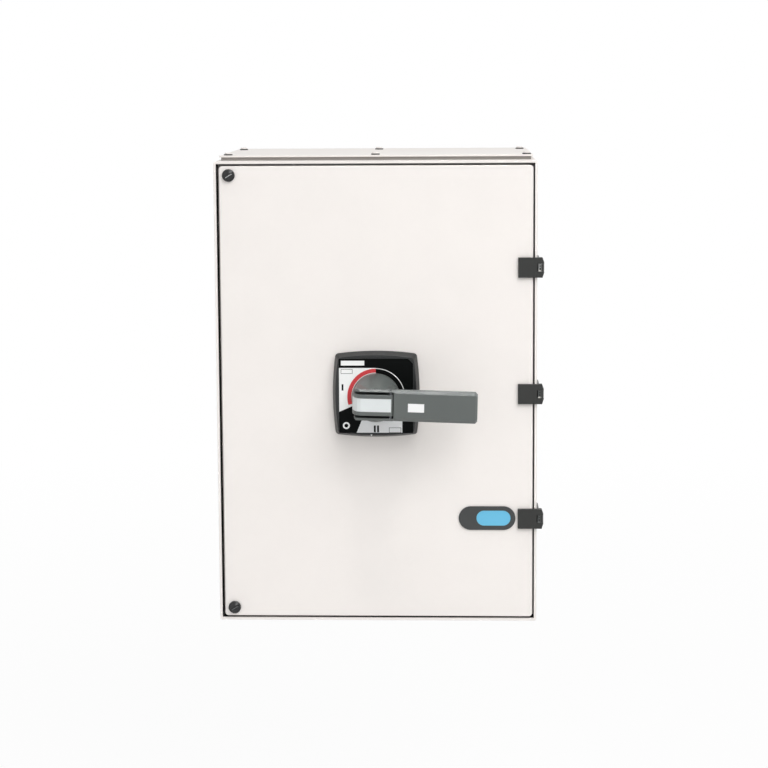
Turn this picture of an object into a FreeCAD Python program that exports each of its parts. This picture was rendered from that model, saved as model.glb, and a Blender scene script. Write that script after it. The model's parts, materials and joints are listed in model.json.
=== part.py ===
import FreeCAD, Part
import math
import os

# Manual changeover switch in a sheet-steel wall enclosure, in millimetres.
# X runs to the right seen from the front, Y runs into the wall, Z runs up.
# The origin is the middle of the four wall-fixing holes on the outer back face.

# Enclosure body
BODY_WIDTH = 400.0
BODY_HEIGHT = 580.0
BODY_DEPTH = 275.0
SHEET = 1.5
BODY_CORNER = 2.5
LEAST_CORNER = 0.2
NEAR = 0.01
BACK_FOLD = 2.0
GUTTER_DEPTH = 21.0
COLLAR_INSET = 28.0
COLLAR_SETBACK = 5.0
COLLAR_CORNER = 3.0
LEDGE_CORNER = 0.3
WALL_HOLE_R = 4.5
WALL_HOLE_EDGE_X = 30.0
WALL_HOLE_EDGE_Z = 40.0

# Gland plates, top and bottom alike
GLAND_PLATE_SETBACK = 24.0
GLAND_PLATE_SIDE_INSET = 4.5
GLAND_PLATE_BACK_INSET = 2.0
GLAND_PLATE_THICKNESS = 2.0
GLAND_GASKET_THICKNESS = 4.2
GLAND_GASKET_INSET = 2.5
GLAND_SEAT = 24.0
GLAND_PLATE_CORNER = 3.0

# Door
DOOR_GAP_LEFT = 3.8
DOOR_GAP_RIGHT = 2.3
DOOR_GAP_TOP = 2.7
DOOR_GAP_BOTTOM = 2.7
DOOR_PROUD = 1.0
DOOR_FLANGE = 18.0
DOOR_CORNER = 4.0
DOOR_EDGE_FOLD = 1.0
DOOR_GASKET_WIDTH = 10.0
DOOR_GASKET_CORNER = 12.0
STIFFENER_SHARE = 0.304
STIFFENER_WIDTH = 34.0
STIFFENER_DEPTH = 12.0
STIFFENER_LIP = 11.0
STIFFENER_END_GAP = 52.0

# Hinges
HINGE_SPACING = 158.0
HINGE_HEIGHT = 25.0
HINGE_KNUCKLE_R = 4.0
HINGE_SIDE_GAP = 0.3
HINGE_PIN_R = 2.0
HINGE_PIN_AHEAD = 2.0
HINGE_PIN_SUNK = 0.4
HINGE_LEAF_THICKNESS = 4.0
HINGE_LEAF_REACH = 28.0
HINGE_MIDDLE_KNUCKLE = 9.0
HINGE_BODY_LEAF_THICKNESS = 3.0
HINGE_BODY_LEAF_LENGTH = 34.0
HINGE_LEAF_BEVEL = 1.0
HINGE_ARM = 6.0
HINGE_CORNER_X = 2.2
HINGE_CORNER_Z = 6.0

# Quarter-turn door locks
LOCK_EDGE_X = 19.0
LOCK_EDGE_Z = 17.0
LOCK_HEAD_R = 7.8
LOCK_HEAD_HEIGHT = 4.6
LOCK_HEAD_EDGE = 2.4
LOCK_HEAD_FLAT_R = 3.6
LOCK_HEAD_GAP = 0.2
LOCK_SLOT_WIDTH = 2.0
LOCK_SLOT_DEPTH = 2.4
LOCK_SLOT_ANGLE = 32.0
LOCK_SPINDLE_R = 3.0
LOCK_BUSH_R = 5.2
LOCK_BUSH_PROUD = 0.5
LOCK_BUSH_TAIL = 3.5
LOCK_TONGUE_BEHIND = 6.5
LOCK_TONGUE_REACH = 12.0
LOCK_TONGUE_HEEL = 4.5
LOCK_TONGUE_WIDTH = 6.0
LOCK_TONGUE_THICKNESS = 3.0
LOCK_TONGUE_CORNER = 1.2
LOCK_BOSS_R = 4.5
LOCK_BOSS_GAP = 0.2
LOCK_STEM_END = 0.5
STRIKER_START = 7.0
STRIKER_LIP = 12.0
STRIKER_BLOCK = 6.0
STRIKER_WIDTH = 11.0
STRIKER_RISE = 1.0
STRIKER_GAP = 1.4

# Nameplate
NAMEPLATE_LENGTH = 71.0
NAMEPLATE_HEIGHT = 30.0
NAMEPLATE_THICKNESS = 1.6
NAMEPLATE_EDGE_X = 62.0
NAMEPLATE_RISE = 0.4
NAMEPLATE_FIELD_LENGTH = 42.5
NAMEPLATE_FIELD_HEIGHT = 19.0
NAMEPLATE_FIELD_X = 8.0
NAMEPLATE_FIELD_DEPTH = 0.6

# Escutcheon and dial label
ESCUTCHEON_WIDTH = 108.0
ESCUTCHEON_HEIGHT = 108.0
ESCUTCHEON_THICKNESS = 13.0
ESCUTCHEON_DRAFT = 3.6
ESCUTCHEON_SKIRT = 3.0
ESCUTCHEON_BULGE = 3.0
ESCUTCHEON_CORNER = 4.5
ESCUTCHEON_Z = 0.4
ESCUTCHEON_WALL = 3.0
ESCUTCHEON_SPIGOT_R = 21.7
ESCUTCHEON_SPIGOT_TAIL = 1.5
ESCUTCHEON_SPIGOT_PLAY = 0.3
LABEL_WIDTH = 92.0
LABEL_HEIGHT = 93.0
LABEL_DROP = 1.0
LABEL_CORNER = 6.0
LABEL_THICKNESS = 0.8
LABEL_RECESS = 1.2
LABEL_HOLE_PLAY = 1.0
LABEL_PLAY = 0.3

# Handle, heights are above the dial label
HANDLE_Z = -2.0
HANDLE_SAG = 1.4
HUB_R = 30.0
HUB_SKIRT = 9.0
HUB_TOP_R = 20.5
HUB_TOP_HEIGHT = 54.0
HUB_LABEL_GAP = 0.5
HEAD_R = 29.5
HEAD_EDGE = 2.6
HEAD_FOOT = 24.0
GRIP_REACH = 125.0
GRIP_WIDTH = 38.4
GRIP_ROOT_X = 23.6
GRIP_ROOT_HEIGHT = 61.5
GRIP_TIP_HEIGHT = 67.2
GRIP_DEPTH = 25.0
GRIP_DRAFT = 2.0
GRIP_BEVEL = 4.0
GRIP_UNDER_EDGE = 4.0
GRIP_TIP_EDGE = 2.5
HANDLE_BOSS_R = 14.0
RUNNING_GAP = 0.05

# Padlock lever in the hub
LEVER_WIDTH = 25.6
LEVER_NOSE = 27.5
LEVER_SIDE_GAP = 3.2
LEVER_TOP_HEIGHT = 62.0
LEVER_DEPTH = 29.0
LEVER_WALL = 4.5
LEVER_PIN_R = 1.5
LEVER_PIN_X = 19.8
LEVER_PIN_DROP = 3.2
LEVER_PIN_CHEEK = 2.4
LEVER_HOLE_R = 4.0
LEVER_HOLE_X = -14.0
LEVER_FLOOR_GAP = 1.2
LEVER_ROOM = 0.6
NOSE_RUN = 11.0
NOSE_DROP = 26.0
NOSE_STEPS = 4
POINTER_WIDTH = 16.0
POINTER_THICKNESS = 1.2
POINTER_OVERRUN = 0.8

# Drive socket and operating shaft
SHAFT_SIDE = 12.0
SHAFT_TIP_SETBACK = 8.5
SHAFT_TIP_BEVEL = 1.5
SHAFT_TAIL = 6.0
SOCKET_R = 16.5
SOCKET_START = 3.2
SOCKET_END = 20.0
SOCKET_PLAY = 0.4
SOCKET_LAND = 4.0
SOCKET_FLARE = 1.4
SOCKET_FLOOR_GAP = 1.5

# Mounting plate inside
PLATE_WIDTH = 300.0
PLATE_HEIGHT = 430.0
PLATE_THICKNESS = 2.0
PLATE_FLANGE = 10.0
PLATE_FLANGE_SHORT = 12.0
PLATE_FLANGE_STEP = 0.5
PLATE_STANDOFF = 20.0
PLATE_STUD_R = 4.0
PLATE_STUD_EDGE = 18.0
PLATE_STANDOFF_R = 8.0
PLATE_NUT_R = 7.5
PLATE_NUT_HEIGHT = 6.5
PLATE_STUD_PROUD = 3.0
EARTH_STUD_X = -80.0
EARTH_STUD_Z = -190.0
EARTH_STUD_R = 4.0
EARTH_NUT_R = 7.5
EARTH_NUT_HEIGHT = 6.5
EARTH_WASHER_R = 8.0
EARTH_WASHER_THICKNESS = 1.6
EARTH_HEAD_HEIGHT = 5.3
EARTH_STUD_PROUD = 2.4
STUD_CLEARANCE = 0.5

# Switch decks
DECK_COUNT = 4
DECK_HALF = 88.0
DECK_CHAMFER = 28.0
DECK_PITCH = 38.0
DECK_BACK_WALL = 4.0
DECK_WALL = 20.0
DECK_CHAMBER_SIDES = 16
DECK_NOTCH = 9.0
DECK_SLOT_BITE = 4.0
BASE_THICKNESS = 14.0
BASE_FOOT = 14.0
BASE_FOOT_THICKNESS = 6.0
BASE_RECESS = 8.0
DECK_BEVEL = 1.2
COVER_THICKNESS = 8.0
COVER_BEVEL = 2.5
INDEX_HALF = 44.0
INDEX_DEPTH = 22.0
INDEX_WALL = 3.0
INDEX_BEVEL = 2.5
INDEX_CORNER = 8.0
INDEX_BORE_PLAY = 0.5
INDEX_CAM_R = 30.0
INDEX_CAM_THICKNESS = 8.0
INDEX_CAM_GAP = 4.0
INDEX_NOTCH_R = 4.5
HUB_COLLAR_R = 15.0
ROTOR_HUB_R = 25.0
ROTOR_END_GAP = 1.0
BLADE_TIP_GAP = 6.0
BLADE_WIDTH = 22.0
BLADE_THICKNESS = 5.0
BLADE_CORNER = 3.0
CONTACT_GAP = 0.3
CONTACT_LEAF = 3.0
CONTACT_WIDTH = 24.0
CONTACT_GRIP = 12.0
CONTACT_ROOT_GAP = 4.0
CONTACT_SEAT = 8.0
TERMINAL_OUT = 34.0
TERMINAL_THICKNESS = 6.0
TERMINAL_HOLE_HALF = 5.2
TERMINAL_HOLE_OUT = 20.0
LINK_THICKNESS = 5.0
LINK_WIDTH = 22.0
BOLT_NECK_HALF = 5.0
BOLT_HEAD_R = 9.0
BOLT_HEAD_HEIGHT = 6.4
NUT_HEIGHT = 8.0
TIE_ROD_R = 3.5
TIE_ROD_INSET = 5.0
TIE_NUT_R = 6.5
TIE_NUT_HEIGHT = 5.0
SLIP_FIT = 0.1

# Places worked out from the sizes above
FRONT_Y = -BODY_DEPTH
HALF_W = BODY_WIDTH / 2
HALF_H = BODY_HEIGHT / 2
RIM = 2 * SHEET
DOOR_FACE_Y = FRONT_Y - DOOR_PROUD
DOOR_INNER_Y = DOOR_FACE_Y + SHEET
DOOR_LEFT = -HALF_W + RIM + DOOR_GAP_LEFT
DOOR_RIGHT = HALF_W - RIM - DOOR_GAP_RIGHT
DOOR_BOTTOM = -HALF_H + RIM + DOOR_GAP_BOTTOM
DOOR_TOP = HALF_H - RIM - DOOR_GAP_TOP
DOOR_CX = (DOOR_LEFT + DOOR_RIGHT) / 2
DOOR_CZ = (DOOR_BOTTOM + DOOR_TOP) / 2
DOOR_W = DOOR_RIGHT - DOOR_LEFT
DOOR_H = DOOR_TOP - DOOR_BOTTOM
LEDGE_Y = FRONT_Y + GUTTER_DEPTH
PIN_X = HALF_W + HINGE_SIDE_GAP + HINGE_KNUCKLE_R
PIN_Y = FRONT_Y - HINGE_PIN_AHEAD
HINGE_PLACES = (HINGE_SPACING, 0.0, -HINGE_SPACING)
LOCK_X = -HALF_W + LOCK_EDGE_X
LOCK_Z = HALF_H - LOCK_EDGE_Z
LOCK_PLACES = {"upper": LOCK_Z, "lower": -LOCK_Z}
STIFFENER_X = STIFFENER_SHARE * DOOR_W
NAMEPLATE_X = HALF_W - NAMEPLATE_EDGE_X
NAMEPLATE_Z = NAMEPLATE_RISE - HINGE_SPACING
TONGUE_Y = DOOR_INNER_Y + LOCK_TONGUE_BEHIND
ESCUTCHEON_FACE_Y = DOOR_FACE_Y - ESCUTCHEON_THICKNESS
LABEL_SEAT_Y = ESCUTCHEON_FACE_Y + LABEL_RECESS
LABEL_Y = LABEL_SEAT_Y - LABEL_THICKNESS
LABEL_Z = ESCUTCHEON_Z - LABEL_DROP
LEVER_PIN_HEIGHT = LEVER_TOP_HEIGHT - LEVER_PIN_DROP
LEVER_HOLE_HEIGHT = LEVER_TOP_HEIGHT - 2 * LEVER_WALL - LEVER_HOLE_R
PLATE_Y = -SHEET - PLATE_STANDOFF
BASE_Y = PLATE_Y - PLATE_THICKNESS
DECK_START_Y = BASE_Y - BASE_THICKNESS
DECK_CHAMBER_R = DECK_HALF - DECK_WALL
BLADE_REACH = DECK_CHAMBER_R - BLADE_TIP_GAP
CONTACT_INNER = BLADE_REACH - CONTACT_GRIP
CONTACT_ROOT = BLADE_REACH + CONTACT_ROOT_GAP
CONTACT_OUTER = DECK_HALF - CONTACT_SEAT
TERMINAL_REACH = DECK_HALF + TERMINAL_OUT
TERMINAL_HOLE_REACH = DECK_HALF + TERMINAL_HOLE_OUT
DECKS_FRONT_Y = DECK_START_Y - DECK_COUNT * DECK_PITCH
COVER_FRONT_Y = DECKS_FRONT_Y - COVER_THICKNESS
INDEX_FRONT_Y = COVER_FRONT_Y - INDEX_DEPTH
SHAFT_TIP_Y = FRONT_Y + SHAFT_TIP_SETBACK
SOCKET_START_Y = FRONT_Y + SOCKET_START
SOCKET_END_Y = FRONT_Y + SOCKET_END
UP = FreeCAD.Vector(0, 0, 1)
INWARD = FreeCAD.Vector(0, 1, 0)
SIDEWAYS = FreeCAD.Vector(1, 0, 0)


def point(x, y, z):
    return FreeCAD.Vector(x, y, z)


def block(x0, x1, y0, y1, z0, z1):
    return Part.makeBox(x1 - x0, y1 - y0, z1 - z0, point(x0, y0, z0))


def rod_y(x, z, radius, y0, y1):
    return Part.makeCylinder(radius, y1 - y0, point(x, y0, z), INWARD)


def rod_z(x, y, z0, z1, radius):
    return Part.makeCylinder(radius, z1 - z0, point(x, y, z0), UP)


def prism(points, y0, y1):
    """A straight-sided outline in X and Z, pushed along Y."""
    corners = [point(x, y0, z) for x, z in points]
    wire = Part.makePolygon(corners + corners[:1])
    return Part.Face(wire).extrude(point(0, y1 - y0, 0))


def rounded_outline(cx, cz, width, height, radius, y):
    """A rectangle with round corners, standing in the plane at y."""
    left, right = cx - width / 2, cx + width / 2
    low, high = cz - height / 2, cz + height / 2
    cut = radius * (1 - math.sqrt(0.5))
    corners = [
        ((right - radius, low), (right - cut, low + cut), (right, low + radius)),
        ((right, high - radius), (right - cut, high - cut), (right - radius, high)),
        ((left + radius, high), (left + cut, high - cut), (left, high - radius)),
        ((left, low + radius), (left + cut, low + cut), (left + radius, low)),
    ]
    edges = []
    for index, (start, middle, end) in enumerate(corners):
        arc = [point(x, y, z) for x, z in (start, middle, end)]
        edges.append(Part.Arc(*arc).toShape())
        following = corners[(index + 1) % len(corners)][0]
        next_point = point(following[0], y, following[1])
        if arc[2].distanceToPoint(next_point) > NEAR:
            edges.append(Part.LineSegment(arc[2], next_point).toShape())
    return Part.Wire(edges)


def slab(cx, cz, width, height, radius, y0, y1):
    face = Part.Face(rounded_outline(cx, cz, width, height, radius, y0))
    return face.extrude(point(0, y1 - y0, 0))


def frame_ring(cx, cz, width, height, radius, wall, y0, y1):
    """A rectangular ring of one wall width, pushed along Y."""
    inner_radius = max(radius - wall, LEAST_CORNER)
    outer = slab(cx, cz, width, height, radius, y0, y1)
    return outer.cut(slab(cx, cz, width - 2 * wall, height - 2 * wall, inner_radius, y0, y1))


def turned(points, x, z):
    """A profile of (radius, y) pairs turned about the line along Y through x, z."""
    corners = [point(x + radius, y, z) for radius, y in points]
    wire = Part.makePolygon(corners + corners[:1])
    return Part.Face(wire).revolve(point(x, 0, z), INWARD, 360)


def regular(sides, x, z, radius, y0, y1):
    """A regular many-sided bar along Y; radius is to its corners, one flat faces down."""
    turn = 2 * math.pi / sides
    angles = [(i + 0.5) * turn for i in range(sides)]
    return prism([(x + radius * math.cos(a), z + radius * math.sin(a)) for a in angles], y0, y1)


def hexagon(x, z, radius, y0, y1):
    return regular(6, x, z, radius, y0, y1)


def dome_profile(base_r, base_height, top_r, top_height, chords):
    """Points (radius, height) on an ellipse quarter that starts upright at the base."""
    points = []
    span = base_height - top_height
    end_angle = math.acos(top_r / base_r)
    for index in range(chords + 1):
        angle = end_angle * index / chords
        share = math.sin(angle) / math.sin(end_angle)
        points.append((base_r * math.cos(angle), base_height - span * share))
    return points


def joined(shapes):
    whole = shapes[0].fuse(shapes[1:]) if len(shapes) > 1 else shapes[0]
    return whole.removeSplitter()


def save(name, shape):
    shape.exportStep("parts/" + name + ".step")


def save_group(name, shapes):
    save(name, Part.makeCompound(shapes))


# Enclosure body
def wall_hole_centres():
    x = HALF_W - WALL_HOLE_EDGE_X
    z = HALF_H - WALL_HOLE_EDGE_Z
    return [(sx * x, sz * z) for sx in (-1, 1) for sz in (-1, 1)]


def gland_cutout(side):
    """The opening in the top (side 1) or bottom (side -1) wall under the gland plate."""
    half_x = HALF_W - GLAND_PLATE_SIDE_INSET - GLAND_SEAT
    front = FRONT_Y + GLAND_PLATE_SETBACK + GLAND_SEAT
    back = -GLAND_PLATE_BACK_INSET - GLAND_SEAT
    low, high = sorted((side * (HALF_H - 2 * SHEET), side * (HALF_H + SHEET)))
    return block(-half_x, half_x, front, back, low, high)


def enclosure_body():
    outer = slab(0, 0, BODY_WIDTH, BODY_HEIGHT, BODY_CORNER, FRONT_Y, 0)
    back_edges = [e for e in outer.Edges if e.BoundBox.YMin > -NEAR]
    outer = outer.makeChamfer(BACK_FOLD, back_edges)
    inner_corner = BODY_CORNER - SHEET
    inside = slab(0, 0, BODY_WIDTH - RIM, BODY_HEIGHT - RIM, inner_corner, FRONT_Y, -SHEET)
    hem = frame_ring(0, 0, BODY_WIDTH - RIM, BODY_HEIGHT - RIM, inner_corner, SHEET, FRONT_Y, LEDGE_Y)
    body = joined([outer.cut(inside), hem])
    cuts = [gland_cutout(1), gland_cutout(-1)]
    cuts += [rod_y(x, z, WALL_HOLE_R, -2 * SHEET, SHEET) for x, z in wall_hole_centres()]
    return body.cut(cuts)


def gutter_ledge():
    """The gutter's floor, from the hem to the collar."""
    width = COLLAR_INSET + SHEET - RIM
    return frame_ring(
        0, 0, BODY_WIDTH - 2 * RIM, BODY_HEIGHT - 2 * RIM, LEDGE_CORNER, width, LEDGE_Y - SHEET, LEDGE_Y
    )


def gutter_collar():
    """The upright lip round the door opening, which the door's gasket meets."""
    width = BODY_WIDTH - 2 * COLLAR_INSET
    height = BODY_HEIGHT - 2 * COLLAR_INSET
    return frame_ring(0, 0, width, height, COLLAR_CORNER, SHEET, FRONT_Y + COLLAR_SETBACK, LEDGE_Y - SHEET)


# Gland plates with their gaskets
def gland_span():
    front = FRONT_Y + GLAND_PLATE_SETBACK
    back = -GLAND_PLATE_BACK_INSET
    half_x = HALF_W - GLAND_PLATE_SIDE_INSET
    return half_x, front, back


def gland_plate(side):
    half_x, front, back = gland_span()
    near = side * (HALF_H + GLAND_GASKET_THICKNESS)
    far = near + side * GLAND_PLATE_THICKNESS
    low, high = sorted((near, far))
    plate = block(-half_x, half_x, front, back, low, high)
    upright = [e for e in plate.Edges if e.BoundBox.ZLength > GLAND_PLATE_THICKNESS / 2]
    return plate.makeFillet(GLAND_PLATE_CORNER, upright)


def gland_gasket(side):
    half_x, front, back = gland_span()
    near = side * HALF_H
    far = near + side * GLAND_GASKET_THICKNESS
    low, high = sorted((near, far))
    inset = GLAND_GASKET_INSET
    outer = block(-half_x + inset, half_x - inset, front + inset, back - inset, low, high)
    seat = GLAND_SEAT
    inner = block(-half_x + seat, half_x - seat, front + seat, back - seat, low, high)
    return outer.cut(inner)


# Door
def door_panel():
    outer = slab(DOOR_CX, DOOR_CZ, DOOR_W, DOOR_H, DOOR_CORNER, DOOR_FACE_Y, DOOR_FACE_Y + DOOR_FLANGE)
    face_edges = [e for e in outer.Edges if e.BoundBox.YMax < DOOR_FACE_Y + NEAR]
    outer = outer.makeChamfer(DOOR_EDGE_FOLD, face_edges)
    inside = slab(
        DOOR_CX, DOOR_CZ, DOOR_W - 2 * SHEET, DOOR_H - 2 * SHEET, DOOR_CORNER - SHEET,
        DOOR_INNER_Y, DOOR_FACE_Y + 2 * DOOR_FLANGE,
    )
    through = (DOOR_FACE_Y - SHEET, DOOR_INNER_Y + SHEET)
    cuts = [inside, rod_y(0, HANDLE_Z, ESCUTCHEON_SPIGOT_R + ESCUTCHEON_SPIGOT_PLAY, *through)]
    cuts += [rod_y(LOCK_X, z, LOCK_BUSH_R + SLIP_FIT, *through) for z in LOCK_PLACES.values()]
    return outer.cut(cuts)


def door_gasket():
    """A flat strip on the door that the collar's lip presses into."""
    middle = COLLAR_INSET + SHEET / 2
    outset = middle - DOOR_GASKET_WIDTH / 2
    width = BODY_WIDTH - 2 * outset
    height = BODY_HEIGHT - 2 * outset
    return frame_ring(
        0, 0, width, height, DOOR_GASKET_CORNER, DOOR_GASKET_WIDTH, DOOR_INNER_Y, FRONT_Y + COLLAR_SETBACK
    )


def door_stiffener(x):
    """A folded hat channel, its lips spot-welded to the door."""
    half = STIFFENER_WIDTH / 2
    crown = half - STIFFENER_LIP
    y0 = DOOR_INNER_Y
    y1 = DOOR_INNER_Y + STIFFENER_DEPTH
    outline = [
        (-half, y0), (-crown + SHEET, y0), (-crown + SHEET, y1 - SHEET), (crown - SHEET, y1 - SHEET),
        (crown - SHEET, y0), (half, y0), (half, y0 + SHEET), (crown, y0 + SHEET), (crown, y1),
        (-crown, y1), (-crown, y0 + SHEET), (-half, y0 + SHEET),
    ]
    low = DOOR_BOTTOM + STIFFENER_END_GAP
    high = DOOR_TOP - STIFFENER_END_GAP
    corners = [point(x + px, py, low) for px, py in outline]
    wire = Part.makePolygon(corners + corners[:1])
    return Part.Face(wire).extrude(point(0, 0, high - low))


# Hinges
def flat_outline_z(points, z0, z1):
    """An outline in X and Y, pushed up along Z."""
    corners = [point(x, y, z0) for x, y in points]
    wire = Part.makePolygon(corners + corners[:1])
    return Part.Face(wire).extrude(point(0, 0, z1 - z0))


def knuckle_points(start, stop):
    """Corner points of an eight-sided knuckle round the pin, between two eighths of a turn."""
    eighth = math.pi / 4
    return [
        (PIN_X + HINGE_KNUCKLE_R * math.cos(i * eighth), PIN_Y + HINGE_KNUCKLE_R * math.sin(i * eighth))
        for i in range(start, stop + 1)
    ]


def hinge_door_leaf(z):
    """Moulded leaf on the door's face; its outer end wraps the pin above and below the window."""
    half = HINGE_HEIGHT / 2
    bevel = HINGE_LEAF_BEVEL
    front = DOOR_FACE_Y - HINGE_LEAF_THICKNESS
    left = PIN_X - HINGE_LEAF_REACH
    right = PIN_X + HINGE_KNUCKLE_R
    outline = [(left, DOOR_FACE_Y), (left, front + bevel), (left + bevel, front)]
    outline += [(right - 2 * bevel, front), (right, front + 2 * bevel)]
    outline += knuckle_points(0, 3)
    outline.append((PIN_X - HINGE_KNUCKLE_R, DOOR_FACE_Y))
    leaf = flat_outline_z(outline, z - half, z + half)
    corners = []
    for side in (-1, 1):
        end = z + side * half
        cut = [(right, end - side * HINGE_CORNER_Z), (right, end), (right - HINGE_CORNER_X, end)]
        corners.append(prism(cut, front, PIN_Y + 2 * HINGE_KNUCKLE_R))
    gap = HINGE_MIDDLE_KNUCKLE / 2 + HINGE_SIDE_GAP
    clear = HINGE_KNUCKLE_R + HINGE_SIDE_GAP
    window = block(
        PIN_X - clear, PIN_X + 2 * clear, PIN_Y - 2 * clear, PIN_Y + 2 * clear, z - gap, z + gap
    )
    bore = rod_z(PIN_X, PIN_Y, z - half, z + half, HINGE_PIN_R + RUNNING_GAP)
    return leaf.cut([window, bore] + corners)


def hinge_body_leaf(z):
    """Moulded leaf on the enclosure's side, with the middle knuckle on an arm."""
    half = HINGE_HEIGHT / 2
    knuckle = HINGE_MIDDLE_KNUCKLE / 2
    start = PIN_Y + HINGE_KNUCKLE_R + 2 * HINGE_SIDE_GAP
    outer = HALF_W + HINGE_BODY_LEAF_THICKNESS
    plate = block(HALF_W, outer, start, FRONT_Y + HINGE_BODY_LEAF_LENGTH, z - half, z + half)
    outer_edges = [e for e in plate.Edges if e.BoundBox.XMin > outer - NEAR]
    plate = plate.makeChamfer(HINGE_LEAF_BEVEL, outer_edges)
    arm_outline = [(HALF_W, start + HINGE_ARM), (HALF_W, PIN_Y + HINGE_KNUCKLE_R)]
    arm_outline += knuckle_points(3, 8)
    arm_outline.append((PIN_X + HINGE_KNUCKLE_R, PIN_Y + HINGE_KNUCKLE_R))
    arm_outline.append((outer, start + HINGE_ARM))
    arm = flat_outline_z(arm_outline, z - knuckle, z + knuckle)
    bore = rod_z(PIN_X, PIN_Y, z - half, z + half, HINGE_PIN_R + RUNNING_GAP)
    return joined([plate, arm]).cut(bore)


def hinge_pin(z):
    half = HINGE_HEIGHT / 2
    return rod_z(PIN_X, PIN_Y, z - half + HINGE_PIN_SUNK, z + half - HINGE_PIN_SUNK, HINGE_PIN_R)


# Quarter-turn locks
def lock_bush(z):
    tail_y = DOOR_INNER_Y + LOCK_BUSH_TAIL
    tube = rod_y(LOCK_X, z, LOCK_BUSH_R, DOOR_FACE_Y - LOCK_BUSH_PROUD, tail_y)
    return tube.cut(rod_y(LOCK_X, z, LOCK_SPINDLE_R + RUNNING_GAP, DOOR_FACE_Y - SHEET, tail_y))


def lock_spindle(z):
    """Domed head with a screwdriver slot, and the short stem that drives the tongue."""
    seat = DOOR_FACE_Y - LOCK_BUSH_PROUD - LOCK_HEAD_GAP
    edge = seat - LOCK_HEAD_EDGE
    top = seat - LOCK_HEAD_HEIGHT
    stem_end = DOOR_INNER_Y + LOCK_STEM_END
    profile = [
        (0, top), (LOCK_HEAD_FLAT_R, top), (LOCK_HEAD_R, edge), (LOCK_HEAD_R, seat),
        (LOCK_SPINDLE_R, seat), (LOCK_SPINDLE_R, stem_end), (0, stem_end),
    ]
    body = turned(profile, LOCK_X, z)
    slot = block(
        LOCK_X - 2 * LOCK_HEAD_R, LOCK_X + 2 * LOCK_HEAD_R, top - 1, top + LOCK_SLOT_DEPTH,
        z - LOCK_SLOT_WIDTH / 2, z + LOCK_SLOT_WIDTH / 2,
    )
    slot.rotate(point(LOCK_X, 0, z), INWARD, -LOCK_SLOT_ANGLE)
    return body.cut(slot)


def lock_tongue(z):
    """Boss and bar; the bar points along the gutter when unlocked, towards the door's middle."""
    inward = -1 if z > 0 else 1
    half_w = LOCK_TONGUE_WIDTH / 2
    ends = sorted((z + inward * LOCK_TONGUE_REACH, z - inward * LOCK_TONGUE_HEEL))
    bar = block(LOCK_X - half_w, LOCK_X + half_w, TONGUE_Y, TONGUE_Y + LOCK_TONGUE_THICKNESS, ends[0], ends[1])
    corners = [e for e in bar.Edges if e.BoundBox.YLength > LOCK_TONGUE_THICKNESS / 2]
    bar = bar.makeChamfer(LOCK_TONGUE_CORNER, corners)
    bush_end = DOOR_INNER_Y + LOCK_BUSH_TAIL
    stem = rod_y(LOCK_X, z, LOCK_SPINDLE_R, DOOR_INNER_Y + LOCK_STEM_END, bush_end + LOCK_BOSS_GAP)
    boss = rod_y(LOCK_X, z, LOCK_BOSS_R, bush_end + LOCK_BOSS_GAP, TONGUE_Y)
    return joined([bar, boss, stem])


def lock_striker(z):
    """Catch in the gutter: a lip that the turned tongue lies behind, on a block that stands on the floor."""
    lip_back = TONGUE_Y - STRIKER_GAP
    start = LOCK_X + STRIKER_START
    block_start = start + STRIKER_LIP
    end = block_start + STRIKER_BLOCK
    middle = z + math.copysign(STRIKER_RISE, z)
    z0, z1 = middle - STRIKER_WIDTH / 2, middle + STRIKER_WIDTH / 2
    lip = block(start, end, lip_back - SHEET, lip_back, z0, z1)
    return [lip, block(block_start, end, lip_back, LEDGE_Y - SHEET, z0, z1)]


# Nameplate
def nameplate():
    front = DOOR_FACE_Y - NAMEPLATE_THICKNESS
    plate = slab(
        NAMEPLATE_X, NAMEPLATE_Z, NAMEPLATE_LENGTH, NAMEPLATE_HEIGHT, NAMEPLATE_HEIGHT / 2 - NEAR,
        front, DOOR_FACE_Y,
    )
    return plate.cut(nameplate_field_solid(front - 1, front + NAMEPLATE_FIELD_DEPTH, SLIP_FIT))


def nameplate_field_solid(y0, y1, extra):
    return slab(
        NAMEPLATE_X + NAMEPLATE_FIELD_X, NAMEPLATE_Z, NAMEPLATE_FIELD_LENGTH + 2 * extra,
        NAMEPLATE_FIELD_HEIGHT + 2 * extra, NAMEPLATE_FIELD_HEIGHT / 2 - NEAR, y0, y1,
    )


def nameplate_field():
    front = DOOR_FACE_Y - NAMEPLATE_THICKNESS
    return nameplate_field_solid(front, front + NAMEPLATE_FIELD_DEPTH, 0)


# Escutcheon and dial label
def pillow_outline(width, height, radius, y):
    """A square whose four sides bow outwards, with round corners."""
    cx, cz = 0.0, ESCUTCHEON_Z
    half_w, half_h = width / 2, height / 2
    side_w, side_h = half_w - ESCUTCHEON_BULGE, half_h - ESCUTCHEON_BULGE
    cut = radius * (1 - math.sqrt(0.5))
    corners = []
    for sx, sz, turn in ((1, -1, 0), (1, 1, 1), (-1, 1, 0), (-1, -1, 1)):
        on_flat = (cx + sx * (side_w - radius), cz + sz * side_h)
        on_bend = (cx + sx * (side_w - cut), cz + sz * (side_h - cut))
        on_side = (cx + sx * side_w, cz + sz * (side_h - radius))
        corners.append((on_side, on_bend, on_flat) if turn else (on_flat, on_bend, on_side))
    bows = [(cx + half_w, cz), (cx, cz + half_h), (cx - half_w, cz), (cx, cz - half_h)]
    edges = []
    for index, corner in enumerate(corners):
        arc = [point(x, y, z) for x, z in corner]
        edges.append(Part.Arc(*arc).toShape())
        following = corners[(index + 1) % 4][0]
        bow = point(bows[index][0], y, bows[index][1])
        edges.append(Part.Arc(arc[2], bow, point(following[0], y, following[1])).toShape())
    return Part.Wire(edges)


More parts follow.
